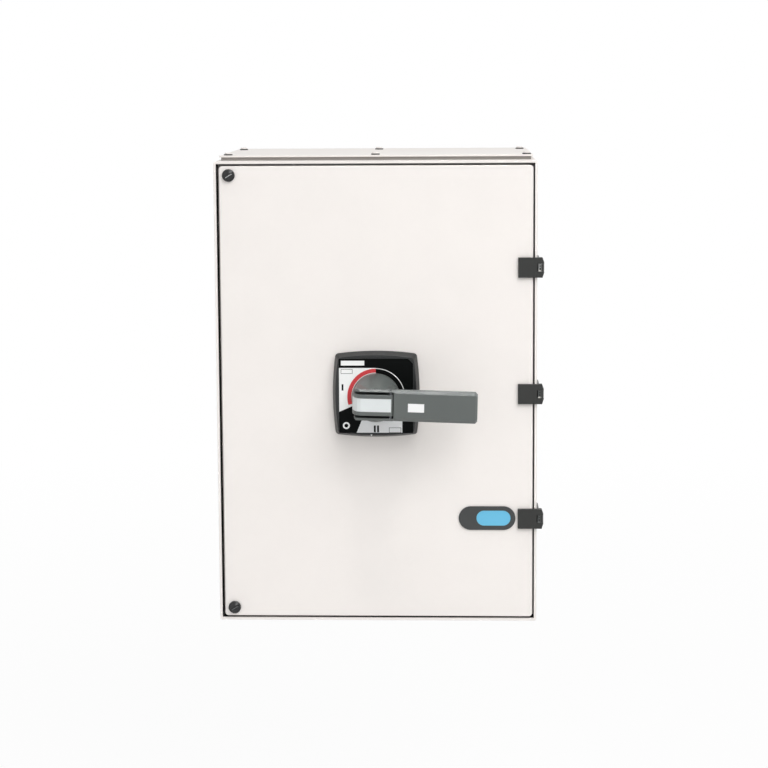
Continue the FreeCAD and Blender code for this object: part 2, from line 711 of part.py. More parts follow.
def label_outline(play):
    """The label's outline: a rectangle with its upper right corner cut off."""
    right = LABEL_WIDTH / 2 + play
    low = LABEL_Z - LABEL_HEIGHT / 2 - play
    high = LABEL_Z + LABEL_HEIGHT / 2 + play
    cut = [(right, high - LABEL_CORNER), (right - LABEL_CORNER, high)]
    return [(-right, low), (right, low)] + cut + [(-right, high)]


def escutcheon():
    skirt_y = DOOR_FACE_Y - ESCUTCHEON_SKIRT
    face = (ESCUTCHEON_WIDTH - 2 * ESCUTCHEON_DRAFT, ESCUTCHEON_HEIGHT - 2 * ESCUTCHEON_DRAFT)
    foot = pillow_outline(ESCUTCHEON_WIDTH, ESCUTCHEON_HEIGHT, ESCUTCHEON_CORNER, skirt_y)
    skirt = Part.Face(foot).extrude(point(0, ESCUTCHEON_SKIRT, 0))
    front = pillow_outline(face[0], face[1], ESCUTCHEON_CORNER, ESCUTCHEON_FACE_Y)
    body = joined([skirt, Part.makeLoft([front, foot], True, True)])
    spigot_root = LABEL_SEAT_Y + ESCUTCHEON_WALL
    hollow_w = LABEL_WIDTH - 2 * ESCUTCHEON_WALL
    hollow_h = LABEL_HEIGHT - 2 * ESCUTCHEON_WALL
    hollow = block(
        -hollow_w / 2, hollow_w / 2, spigot_root, DOOR_FACE_Y, LABEL_Z - hollow_h / 2, LABEL_Z + hollow_h / 2
    )
    spigot = rod_y(0, HANDLE_Z, ESCUTCHEON_SPIGOT_R, spigot_root, DOOR_INNER_Y + ESCUTCHEON_SPIGOT_TAIL)
    pocket = prism(label_outline(LABEL_PLAY), ESCUTCHEON_FACE_Y, LABEL_SEAT_Y)
    shell = joined([body.cut([hollow, pocket]), spigot])
    bore_end = DOOR_INNER_Y + 2 * ESCUTCHEON_SPIGOT_TAIL
    bore = rod_y(0, HANDLE_Z, HANDLE_BOSS_R + RUNNING_GAP, LABEL_SEAT_Y, bore_end)
    return shell.cut(bore)


def dial_label():
    plate = prism(label_outline(0), LABEL_Y, LABEL_SEAT_Y)
    return plate.cut(rod_y(0, HANDLE_Z, HANDLE_BOSS_R + LABEL_HOLE_PLAY, LABEL_Y, LABEL_SEAT_Y))


# Handle
def above_label(height):
    return LABEL_Y - height


def grip_height(x):
    share = (x - GRIP_ROOT_X) / (GRIP_REACH - GRIP_ROOT_X)
    return GRIP_ROOT_HEIGHT + share * (GRIP_TIP_HEIGHT - GRIP_ROOT_HEIGHT)


def grip_section(x, inset):
    """A section standing across the grip at x: drafted sides, broad bevels in front, narrow ones behind."""
    half = GRIP_WIDTH / 2 - inset
    top = grip_height(x) - inset
    low = grip_height(x) - GRIP_DEPTH + inset
    back = half - GRIP_DRAFT
    edge = GRIP_UNDER_EDGE
    right = [
        (back - edge, low), (back, low + edge), (half, top - GRIP_BEVEL), (half - GRIP_BEVEL, top),
    ]
    outline = right + [(-z, h) for z, h in right[::-1]]
    corners = [point(x, above_label(h), HANDLE_Z + z) for z, h in outline]
    return Part.makePolygon(corners + corners[:1])


def grip():
    end = GRIP_REACH - GRIP_TIP_EDGE
    sections = [grip_section(0, 0), grip_section(end, 0), grip_section(GRIP_REACH, GRIP_TIP_EDGE)]
    return [Part.makeLoft(list(pair), True, True) for pair in zip(sections, sections[1:])]


def hub():
    """Skirt over the label, then a cone up to the head."""
    top = above_label(HUB_TOP_HEIGHT)
    skirt = above_label(HUB_SKIRT)
    start = above_label(HUB_LABEL_GAP)
    return turned([(0, start), (HUB_R, start), (HUB_R, skirt), (HUB_TOP_R, top), (0, top)], 0, HANDLE_Z)


def nose_points(nose, top):
    """Side outline of a nose in X and height: a quarter ellipse in chords, from the top down."""
    turn = math.pi / 2 / NOSE_STEPS
    return [
        (-nose + NOSE_RUN * (1 - math.sin(i * turn)), top - NOSE_DROP * (1 - math.cos(i * turn)))
        for i in range(NOSE_STEPS + 1)
    ]


def side_prism(points, half):
    """A side outline in X and height, extruded across the handle."""
    corners = [point(x, above_label(h), HANDLE_Z - half) for x, h in points]
    return Part.Face(Part.makePolygon(corners + corners[:1])).extrude(point(0, 0, 2 * half))


def head():
    """The grip's width carried over the hub, round in plan, falling away at the nose."""
    outline = nose_points(LEVER_NOSE, GRIP_ROOT_HEIGHT)
    outline += [(-LEVER_NOSE, HEAD_FOOT), (GRIP_ROOT_X, HEAD_FOOT), (GRIP_ROOT_X, GRIP_ROOT_HEIGHT)]
    body = side_prism(outline, GRIP_WIDTH / 2)
    long_edges = [
        e for e in body.Edges
        if e.BoundBox.XLength > LEVER_NOSE and e.BoundBox.YMax < above_label(GRIP_ROOT_HEIGHT) + NEAR
    ]
    body = body.makeChamfer(HEAD_EDGE, long_edges)
    rounding = rod_y(0, HANDLE_Z, HEAD_R, above_label(GRIP_ROOT_HEIGHT), above_label(HEAD_FOOT))
    return body.common(rounding)


def lever_pocket():
    half = LEVER_WIDTH / 2 + LEVER_SIDE_GAP
    floor = LEVER_TOP_HEIGHT - LEVER_DEPTH - LEVER_FLOOR_GAP
    return block(
        -2 * LEVER_NOSE, GRIP_ROOT_X, above_label(2 * LEVER_TOP_HEIGHT), above_label(floor),
        HANDLE_Z - half, HANDLE_Z + half,
    )


def pin_half_length():
    return LEVER_WIDTH / 2 + LEVER_SIDE_GAP + LEVER_PIN_CHEEK


def lever_pin():
    half = pin_half_length()
    return rod_z(LEVER_PIN_X, above_label(LEVER_PIN_HEIGHT), HANDLE_Z - half, HANDLE_Z + half, LEVER_PIN_R)


def sagged(shape):
    """Turn a piece of the handle by the little that it hangs within its socket's play."""
    return shape.rotate(point(0, 0, HANDLE_Z), INWARD, HANDLE_SAG)


def handle():
    """Hub, head, sloping grip and bearing boss, one moulding, with the pocket of the padlock lever."""
    boss = rod_y(0, HANDLE_Z, HANDLE_BOSS_R, above_label(HUB_LABEL_GAP + 1), SOCKET_START_Y)
    solid = joined([hub(), head()] + grip()).cut([lever_pocket(), lever_pin()])
    return joined([solid, boss])


def lever_outline():
    """Side outline of the lever: curved nose, flat top, round heel about the pin."""
    low = LEVER_TOP_HEIGHT - LEVER_DEPTH
    nose = nose_points(LEVER_NOSE, LEVER_TOP_HEIGHT)
    heel_r = GRIP_ROOT_X - LEVER_PIN_X - LEVER_ROOM
    turn = math.pi / 8
    heel = [
        (LEVER_PIN_X + heel_r * math.cos(i * turn), LEVER_PIN_HEIGHT + heel_r * math.sin(i * turn))
        for i in range(-4, 5)
    ]
    heel = [(x, min(h, LEVER_TOP_HEIGHT)) for x, h in heel]
    return nose + [(-LEVER_NOSE, low), (0, low)] + heel


def padlock_lever():
    """A channel-shaped lever: two cheeks, a top wall and a nose, with the shackle hole across."""
    half = LEVER_WIDTH / 2
    body = side_prism(lever_outline(), half)
    hollow = block(
        -LEVER_NOSE + LEVER_WALL + NOSE_RUN / 2, LEVER_PIN_X - 2 * LEVER_WALL,
        above_label(LEVER_TOP_HEIGHT - LEVER_WALL), above_label(0),
        HANDLE_Z - half + LEVER_WALL, HANDLE_Z + half - LEVER_WALL,
    )
    pin = rod_z(
        LEVER_PIN_X, above_label(LEVER_PIN_HEIGHT), HANDLE_Z - half, HANDLE_Z + half, LEVER_PIN_R + RUNNING_GAP
    )
    shackle_y = above_label(LEVER_HOLE_HEIGHT)
    shackle = rod_z(LEVER_HOLE_X, shackle_y, HANDLE_Z - half, HANDLE_Z + half, LEVER_HOLE_R)
    return body.cut([hollow, pin, shackle, pointer_insert(SLIP_FIT)])


def pointer_insert(extra=0.0):
    """The light strip let into the lever's top, which also wraps down the nose."""
    outer = nose_points(LEVER_NOSE, LEVER_TOP_HEIGHT)
    sink = POINTER_THICKNESS + extra
    inner = [(x + sink, h - sink) for x, h in outer]
    right = LEVER_PIN_X + POINTER_OVERRUN + extra
    outline = outer + inner[::-1] + [(right, LEVER_TOP_HEIGHT - sink), (right, LEVER_TOP_HEIGHT)]
    return side_prism(outline, POINTER_WIDTH / 2 + extra)


def square_outline(side, y):
    half = side / 2
    corners = [
        point(sx * half, y, HANDLE_Z + sz * half) for sx, sz in ((-1, -1), (1, -1), (1, 1), (-1, 1))
    ]
    return Part.makePolygon(corners + corners[:1])


def drive_socket():
    """Round bush with a flared square mouth that finds the shaft as the door shuts."""
    body = rod_y(0, HANDLE_Z, SOCKET_R, SOCKET_START_Y, SOCKET_END_Y)
    fit_side = SHAFT_SIDE + 2 * SOCKET_PLAY
    mouth_side = SHAFT_SIDE + 2 * SOCKET_FLARE
    floor = SHAFT_TIP_Y - SOCKET_FLOOR_GAP
    land_end = SHAFT_TIP_Y + SOCKET_LAND
    land = Part.makeLoft([square_outline(fit_side, floor), square_outline(fit_side, land_end)], True, True)
    slope = (mouth_side - fit_side) / (SOCKET_END_Y - land_end)
    past = 1.0
    flare = Part.makeLoft(
        [square_outline(fit_side, land_end), square_outline(mouth_side + slope * past, SOCKET_END_Y + past)],
        True, True,
    )
    return body.cut(joined([land, flare]))


# Mounting plate inside
def plate_stud_centres():
    x = PLATE_WIDTH / 2 - PLATE_STUD_EDGE
    z = PLATE_HEIGHT / 2 - PLATE_STUD_EDGE
    return [(sx * x, sz * z) for sx in (-1, 1) for sz in (-1, 1)]


def mounting_plate():
    face_y = PLATE_Y - PLATE_THICKNESS
    half = PLATE_WIDTH / 2
    plate = block(-half, half, face_y, PLATE_Y, -PLATE_HEIGHT / 2, PLATE_HEIGHT / 2)
    z = PLATE_HEIGHT / 2 - PLATE_FLANGE_SHORT
    flanges = [
        block(sx * half - (PLATE_THICKNESS if sx > 0 else 0), sx * half + (0 if sx > 0 else PLATE_THICKNESS),
              face_y - PLATE_FLANGE, PLATE_Y - PLATE_FLANGE_STEP, -z, z)
        for sx in (-1, 1)
    ]
    through = (face_y - 1, PLATE_Y + 1)
    holes = [rod_y(x, z, PLATE_STUD_R + STUD_CLEARANCE, *through) for x, z in plate_stud_centres()]
    holes.append(rod_y(EARTH_STUD_X, EARTH_STUD_Z, EARTH_STUD_R + SLIP_FIT, *through))
    return joined([plate] + flanges).cut(holes)


def plate_standoff(x, z):
    """Hexagonal pillar welded to the back wall, with the threaded stud that the plate hangs on."""
    pillar = hexagon(x, z, PLATE_STANDOFF_R, PLATE_Y, -SHEET)
    stud_end = PLATE_Y - PLATE_THICKNESS - PLATE_NUT_HEIGHT - PLATE_STUD_PROUD
    return joined([pillar, rod_y(x, z, PLATE_STUD_R, stud_end, PLATE_Y)])


def plate_nut(x, z):
    y1 = PLATE_Y - PLATE_THICKNESS
    nut = hexagon(x, z, PLATE_NUT_R, y1 - PLATE_NUT_HEIGHT, y1)
    return nut.cut(rod_y(x, z, PLATE_STUD_R + SLIP_FIT, y1 - PLATE_NUT_HEIGHT, y1))


def earth_stud():
    """Bolt through the mounting plate from behind, with its washer and nut in front."""
    x, z = EARTH_STUD_X, EARTH_STUD_Z
    face_y = PLATE_Y - PLATE_THICKNESS
    washer_y = face_y - EARTH_WASHER_THICKNESS
    nut_y = washer_y - EARTH_NUT_HEIGHT
    return joined([
        hexagon(x, z, EARTH_NUT_R, PLATE_Y, PLATE_Y + EARTH_HEAD_HEIGHT),
        rod_y(x, z, EARTH_STUD_R, nut_y - EARTH_STUD_PROUD, PLATE_Y),
        rod_y(x, z, EARTH_WASHER_R, washer_y, face_y),
        hexagon(x, z, EARTH_NUT_R, nut_y, washer_y),
    ])


# Switch decks
def deck_outline(half, chamfer, notch):
    """Eight sides, with a square notch for a tie rod in the middle of each slanted one."""
    run = half - chamfer
    middle = half - chamfer / 2
    step = notch / 2 * math.sqrt(0.5)
    points = []
    for sx, sz in ((1, -1), (1, 1), (-1, 1), (-1, -1)):
        corner = [
            (run, half), (middle - step, middle + step), (middle - 3 * step, middle - step),
            (middle - step, middle - 3 * step), (middle + step, middle - step), (half, run),
        ]
        if not notch:
            corner = [(run, half), (half, run)]
        placed = [(sx * x, HANDLE_Z + sz * z) for x, z in corner]
        points += placed if sx * sz < 0 else placed[::-1]
    return points


def tie_rod_centres():
    off = DECK_HALF - DECK_CHAMFER / 2 - TIE_ROD_INSET * math.sqrt(0.5)
    return [(sx * off, HANDLE_Z + sz * off) for sx in (-1, 1) for sz in (-1, 1)]


def contact_directions():
    """Left, right, top and bottom, as unit steps in X and Z."""
    return [(-1, 0), (1, 0), (0, 1), (0, -1)]


def along(direction, inner, outer, half_width, y0, y1):
    """A bar that runs outwards from the shaft's line along one of the four directions."""
    dx, dz = direction
    xs = sorted((dx * inner, dx * outer)) if dx else (-half_width, half_width)
    zs = sorted((dz * inner, dz * outer)) if dz else (-half_width, half_width)
    return block(xs[0], xs[1], y0, y1, HANDLE_Z + zs[0], HANDLE_Z + zs[1])


def deck_middle_y(index):
    back = DECK_START_Y - index * DECK_PITCH
    return back - DECK_BACK_WALL - (DECK_PITCH - DECK_BACK_WALL) / 2


def contact_half_thickness():
    return BLADE_THICKNESS / 2 + CONTACT_GAP + CONTACT_LEAF


def switch_base():
    body = prism(deck_outline(DECK_HALF, DECK_CHAMFER, DECK_NOTCH), DECK_START_Y, BASE_Y)
    foot_half = DECK_HALF - DECK_CHAMFER
    feet = block(
        -foot_half, foot_half, BASE_Y - BASE_FOOT_THICKNESS, BASE_Y,
        HANDLE_Z - DECK_HALF - BASE_FOOT, HANDLE_Z + DECK_HALF + BASE_FOOT,
    )
    recess = rod_y(0, HANDLE_Z, HUB_COLLAR_R + RUNNING_GAP, DECK_START_Y, DECK_START_Y + BASE_RECESS)
    return joined([body, feet]).cut(recess)


def chamber_outline():
    """Many-sided chamber whose flats all clear the swept circle of the blade."""
    half_turn = math.pi / DECK_CHAMBER_SIDES
    reach = DECK_CHAMBER_R / math.cos(half_turn)
    angles = [half_turn + 2 * half_turn * i for i in range(DECK_CHAMBER_SIDES)]
    return [(reach * math.cos(a), HANDLE_Z + reach * math.sin(a)) for a in angles]


def switch_deck(index):
    """One pole: an eight-sided moulding with a chamber and four contact slots."""
    back = DECK_START_Y - index * DECK_PITCH
    front = back - DECK_PITCH
    body = prism(deck_outline(DECK_HALF, DECK_CHAMFER, DECK_NOTCH), front, back)
    bevel_edges = [
        e for e in body.Edges
        if e.BoundBox.YMax < front + NEAR and max(e.BoundBox.XLength, e.BoundBox.ZLength) > 3 * DECK_NOTCH
    ]
    body = body.makeChamfer(DECK_BEVEL, bevel_edges)
    chamber = prism(chamber_outline(), front, back - DECK_BACK_WALL)
    collar = rod_y(0, HANDLE_Z, HUB_COLLAR_R + RUNNING_GAP, front, back)
    middle = deck_middle_y(index)
    half = contact_half_thickness() + SLIP_FIT
    wide = CONTACT_WIDTH / 2 + SLIP_FIT
    slot_start = DECK_CHAMBER_R - DECK_SLOT_BITE
    slots = [
        along(d, slot_start, DECK_HALF + 1, wide, middle - half, middle + half) for d in contact_directions()
    ]
    return body.cut([chamber, collar] + slots)


def fixed_contact(direction, middle):
    """Forked contact and its terminal bar, one piece of copper."""
    half = contact_half_thickness()
    gap = BLADE_THICKNESS / 2 + CONTACT_GAP
    wide = CONTACT_WIDTH / 2
    jaw = along(direction, CONTACT_INNER, CONTACT_OUTER, wide, middle - half, middle + half)
    mouth = along(direction, CONTACT_INNER - 1, CONTACT_ROOT, wide + 1, middle - gap, middle + gap)
    bar = along(
        direction, CONTACT_OUTER - 1, TERMINAL_REACH, wide,
        middle - TERMINAL_THICKNESS / 2, middle + TERMINAL_THICKNESS / 2,
    )
    dx, dz = direction
    hole = square_bar(
        2 * TERMINAL_HOLE_HALF, middle - TERMINAL_THICKNESS, middle + TERMINAL_THICKNESS,
        dx * TERMINAL_HOLE_REACH, dz * TERMINAL_HOLE_REACH,
    )
    return joined([jaw.cut(mouth), bar]).cut(hole)


def load_link(index):
    """Copper strap that joins the right and top terminals of one pole."""
    middle = deck_middle_y(index)
    y1 = middle - TERMINAL_THICKNESS / 2
    y0 = y1 - LINK_THICKNESS
    half = LINK_WIDTH / 2
    reach = TERMINAL_HOLE_REACH
    upright = block(reach - half, reach + half, y0, y1, HANDLE_Z - half, HANDLE_Z + reach + half)
    across = block(-half, reach + half, y0, y1, HANDLE_Z + reach - half, HANDLE_Z + reach + half)
    strap = joined([upright, across])
    corner = [
        e for e in strap.Edges
        if e.BoundBox.YLength > LINK_THICKNESS / 2
        and e.BoundBox.XMin > reach + half - NEAR
        and e.BoundBox.ZMin > HANDLE_Z + reach + half - NEAR
    ]
    strap = strap.makeChamfer(LINK_WIDTH / 2, corner)
    holes = [
        square_bar(2 * TERMINAL_HOLE_HALF, y0 - 1, y1 + 1, reach, 0),
        square_bar(2 * TERMINAL_HOLE_HALF, y0 - 1, y1 + 1, 0, reach),
    ]
    return strap.cut(holes)


def terminal_seat_y(direction, middle):
    """Front face that the bolt head rests on: the link where there is one, else the bar."""
    linked = direction in ((1, 0), (0, 1))
    return middle - TERMINAL_THICKNESS / 2 - (LINK_THICKNESS if linked else 0)


def terminal_bolt(direction, middle):
    """Hexagon bolt with a square neck in the square hole, and its nut run down behind."""
    dx, dz = direction
    x, z = dx * TERMINAL_HOLE_REACH, dz * TERMINAL_HOLE_REACH
    seat = terminal_seat_y(direction, middle)
    nut_seat = middle + TERMINAL_THICKNESS / 2
    head = hexagon(x, HANDLE_Z + z, BOLT_HEAD_R, seat - BOLT_HEAD_HEIGHT, seat)
    neck = square_bar(2 * BOLT_NECK_HALF, seat, nut_seat, x, z)
    nut = hexagon(x, HANDLE_Z + z, BOLT_HEAD_R, nut_seat, nut_seat + NUT_HEIGHT)
    return joined([head, neck, nut])


def square_bar(side, y0, y1, x=0.0, z=0.0):
    """A square bar along Y, at x and z from the shaft's line."""
    half = side / 2
    return block(x - half, x + half, y0, y1, HANDLE_Z + z - half, HANDLE_Z + z + half)


def rotor_hub(index):
    """Moulded hub of one pole; its collar turns in the back wall of the deck."""
    back = DECK_START_Y - index * DECK_PITCH
    chamber_back = back - DECK_BACK_WALL
    front = back - DECK_PITCH
    disc = regular(8, 0, HANDLE_Z, ROTOR_HUB_R, front + ROTOR_END_GAP, chamber_back - ROTOR_END_GAP)
    collar = rod_y(0, HANDLE_Z, HUB_COLLAR_R, chamber_back - ROTOR_END_GAP, back + ROTOR_END_GAP - SLIP_FIT)
    middle = deck_middle_y(index)
    half = BLADE_THICKNESS / 2 + SLIP_FIT / 2
    blade_slot = block(
        -ROTOR_HUB_R - 1, ROTOR_HUB_R + 1, middle - half, middle + half,
        HANDLE_Z - BLADE_WIDTH / 2 - SLIP_FIT, HANDLE_Z + BLADE_WIDTH / 2 + SLIP_FIT,
    )
    hole = square_bar(SHAFT_SIDE + SLIP_FIT, front, back + ROTOR_END_GAP)
    return joined([disc, collar]).cut([blade_slot, hole])


def moving_blade(index):
    middle = deck_middle_y(index)
    half = BLADE_THICKNESS / 2
    blade = block(
        -BLADE_REACH, BLADE_REACH, middle - half, middle + half,
        HANDLE_Z - BLADE_WIDTH / 2, HANDLE_Z + BLADE_WIDTH / 2,
    )
    corners = [e for e in blade.Edges if e.BoundBox.YLength > half]
    blade = blade.makeChamfer(BLADE_CORNER, corners)
    return blade.cut(square_bar(SHAFT_SIDE + SLIP_FIT, middle - half - 1, middle + half + 1))


def switch_cover():
    plate = prism(deck_outline(DECK_HALF, DECK_CHAMFER, 0), COVER_FRONT_Y, DECKS_FRONT_Y)
    edges = [e for e in plate.Edges if e.BoundBox.YMax < COVER_FRONT_Y + NEAR]
    plate = plate.makeChamfer(COVER_BEVEL, edges)
    cuts = [rod_y(x, z, TIE_ROD_R + SLIP_FIT, COVER_FRONT_Y, DECKS_FRONT_Y) for x, z in tie_rod_centres()]
    cuts.append(rod_y(0, HANDLE_Z, SHAFT_SIDE, COVER_FRONT_Y, DECKS_FRONT_Y))
    return plate.cut(cuts)


def tie_rod(x, z):
    """Rod with a hexagon head on the cover; it runs down the notches and screws into the plate."""
    front = COVER_FRONT_Y
    head = hexagon(x, z, TIE_NUT_R, front - TIE_NUT_HEIGHT, front)
    return joined([head, rod_y(x, z, TIE_ROD_R, front, BASE_Y)])


def index_housing():
    """Cap over the position cam, open at the back where it sits on the switch cover."""
    side = 2 * INDEX_HALF
    body = slab(0, HANDLE_Z, side, side, INDEX_CORNER, INDEX_FRONT_Y, COVER_FRONT_Y)
    edges = [e for e in body.Edges if e.BoundBox.YMax < INDEX_FRONT_Y + NEAR]
    body = body.makeChamfer(INDEX_BEVEL, edges)
    inside = side - 2 * INDEX_WALL
    hollow = slab(
        0, HANDLE_Z, inside, inside, INDEX_CORNER - INDEX_WALL, INDEX_FRONT_Y + INDEX_WALL, COVER_FRONT_Y
    )
    bore_r = SHAFT_SIDE / math.sqrt(2) + INDEX_BORE_PLAY
    bore = rod_y(0, HANDLE_Z, bore_r, INDEX_FRONT_Y, INDEX_FRONT_Y + INDEX_WALL)
    return body.cut([hollow, bore])


def index_cam():
    """Disc with three notches, one for each handle position."""
    y1 = COVER_FRONT_Y - INDEX_CAM_GAP
    y0 = y1 - INDEX_CAM_THICKNESS
    disc = rod_y(0, HANDLE_Z, INDEX_CAM_R, y0, y1)
    notches = []
    for angle in (180, 135, 90):
        turn = math.radians(angle)
        notches.append(rod_y(
            INDEX_CAM_R * math.cos(turn), HANDLE_Z + INDEX_CAM_R * math.sin(turn), INDEX_NOTCH_R, y0, y1
        ))
    return disc.cut(notches + [square_bar(SHAFT_SIDE + SLIP_FIT, y0, y1)])


def operating_shaft():
    bar = square_bar(SHAFT_SIDE, SHAFT_TIP_Y, DECK_START_Y + SHAFT_TAIL)
    edges = [e for e in bar.Edges if e.BoundBox.YMax < SHAFT_TIP_Y + NEAR]
    return bar.makeChamfer(SHAFT_TIP_BEVEL, edges)


def main():
    os.makedirs("parts", exist_ok=True)
    save("enclosure_body", enclosure_body())
    save("gutter_ledge", gutter_ledge())
    save("gutter_collar", gutter_collar())
    for name, side in (("top", 1), ("bottom", -1)):
        save(name + "_gland_plate", gland_plate(side))
        save(name + "_gland_gasket", gland_gasket(side))
    save("door_panel", door_panel())
    save("door_gasket", door_gasket())
    save_group("door_stiffeners", [door_stiffener(-STIFFENER_X), door_stiffener(STIFFENER_X)])
    save_group("hinge_door_leaves", [hinge_door_leaf(z) for z in HINGE_PLACES])
    save_group("hinge_body_leaves", [hinge_body_leaf(z) for z in HINGE_PLACES])
    save_group("hinge_pins", [hinge_pin(z) for z in HINGE_PLACES])
    save_group("lock_bushes", [lock_bush(z) for z in LOCK_PLACES.values()])
    save_group("lock_strikers", lock_striker(LOCK_Z) + lock_striker(-LOCK_Z))
    for name, z in LOCK_PLACES.items():
        save("lock_" + name + "_spindle", lock_spindle(z))
        save("lock_" + name + "_tongue", lock_tongue(z))
    save("nameplate", nameplate())
    save("nameplate_field", nameplate_field())
    save("escutcheon", escutcheon())
    save("dial_label", dial_label())
    save("handle", sagged(handle()))
    save("padlock_lever", sagged(padlock_lever()))
    save("pointer_insert", sagged(pointer_insert()))
    save("padlock_lever_pin", sagged(lever_pin()))
    save("drive_socket", sagged(drive_socket()))
    save("mounting_plate", mounting_plate())
    save_group("plate_standoffs", [plate_standoff(x, z) for x, z in plate_stud_centres()])
    save_group("plate_nuts", [plate_nut(x, z) for x, z in plate_stud_centres()])
    save("earth_stud", earth_stud())
    save("switch_base", switch_base())
    middles = [deck_middle_y(index) for index in range(DECK_COUNT)]
    poles = range(DECK_COUNT)
    for index in poles:
        save("switch_deck_" + str(index + 1), switch_deck(index))
    save_group("rotor_hubs", [rotor_hub(index) for index in poles])
    save_group("moving_blades", [moving_blade(index) for index in poles])
    save_group("fixed_contacts", [fixed_contact(d, m) for m in middles for d in contact_directions()])
    save_group("load_links", [load_link(index) for index in poles])
    save_group("terminal_bolts", [terminal_bolt(d, m) for m in middles for d in contact_directions()])
    save("switch_cover", switch_cover())
    save_group("tie_rods", [tie_rod(x, z) for x, z in tie_rod_centres()])
    save("index_housing", index_housing())
    save("index_cam", index_cam())
    save("operating_shaft", operating_shaft())


main()
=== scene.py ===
import json
import math

import bpy
from mathutils import Matrix, Vector


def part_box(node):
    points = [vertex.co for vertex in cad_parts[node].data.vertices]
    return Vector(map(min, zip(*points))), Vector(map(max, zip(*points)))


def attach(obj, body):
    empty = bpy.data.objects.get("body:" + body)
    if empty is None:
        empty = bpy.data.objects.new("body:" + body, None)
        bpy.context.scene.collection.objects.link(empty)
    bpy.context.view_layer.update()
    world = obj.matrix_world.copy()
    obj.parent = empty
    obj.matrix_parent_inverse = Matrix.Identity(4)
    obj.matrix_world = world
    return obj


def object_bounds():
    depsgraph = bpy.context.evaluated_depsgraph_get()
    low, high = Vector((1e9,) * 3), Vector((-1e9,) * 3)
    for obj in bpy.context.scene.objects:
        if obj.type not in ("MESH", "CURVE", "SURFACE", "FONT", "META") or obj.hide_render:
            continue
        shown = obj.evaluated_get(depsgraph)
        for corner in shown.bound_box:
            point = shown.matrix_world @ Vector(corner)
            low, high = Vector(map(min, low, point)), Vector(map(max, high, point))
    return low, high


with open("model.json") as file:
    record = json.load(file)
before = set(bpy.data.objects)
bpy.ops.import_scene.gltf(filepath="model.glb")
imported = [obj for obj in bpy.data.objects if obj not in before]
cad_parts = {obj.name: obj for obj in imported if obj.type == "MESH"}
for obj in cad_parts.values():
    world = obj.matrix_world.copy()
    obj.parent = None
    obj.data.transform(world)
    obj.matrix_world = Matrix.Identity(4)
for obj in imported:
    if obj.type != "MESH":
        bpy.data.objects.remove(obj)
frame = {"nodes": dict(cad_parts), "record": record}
cad_low, cad_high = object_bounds()
nodes = frame["nodes"]

MM = 0.001


# Colours, given as sRGB from 0 to 255
def linear(value):
    """The linear value of one channel."""
    c = value / 255
    return c / 12.92 if c <= 0.04045 else ((c + 0.055) / 1.055) ** 2.4


def colour(rgb):
    """Linear red, green and blue."""
    return tuple(linear(value) for value in rgb)


# Node helpers, which return an output socket
def ranged(tree, source, old, new):
    """Map a value from the range old to the range new, and hold it inside that."""
    node = tree.nodes.new("ShaderNodeMapRange")
    node.inputs["From Min"].default_value, node.inputs["From Max"].default_value = old
    node.inputs["To Min"].default_value, node.inputs["To Max"].default_value = new
    tree.links.new(source, node.inputs["Value"])
    return node.outputs["Result"]


def combined(tree, operation, first, second):
    """A math step on an output and a second output or a plain number."""
    node = tree.nodes.new("ShaderNodeMath")
    node.operation = operation
    tree.links.new(first, node.inputs[0])
    if isinstance(second, float):
        node.inputs[1].default_value = second
    else:
        tree.links.new(second, node.inputs[1])
    return node.outputs[0]


# Materials
CLOUD_SCALE = 18.0
CLOUD_DETAIL = 4.0
CLOUD_RANGE = (0.3, 0.7)
GRAIN_DETAIL = 2.0
EDGE_SAMPLES = 4
EDGE_RANGE = (0.995, 0.8)
EDGE_PALING = 0.25
SHEEN_GLOSSIER = 0.05
SHEEN_DULLER = 0.07
SMOOTHEST = 0.05


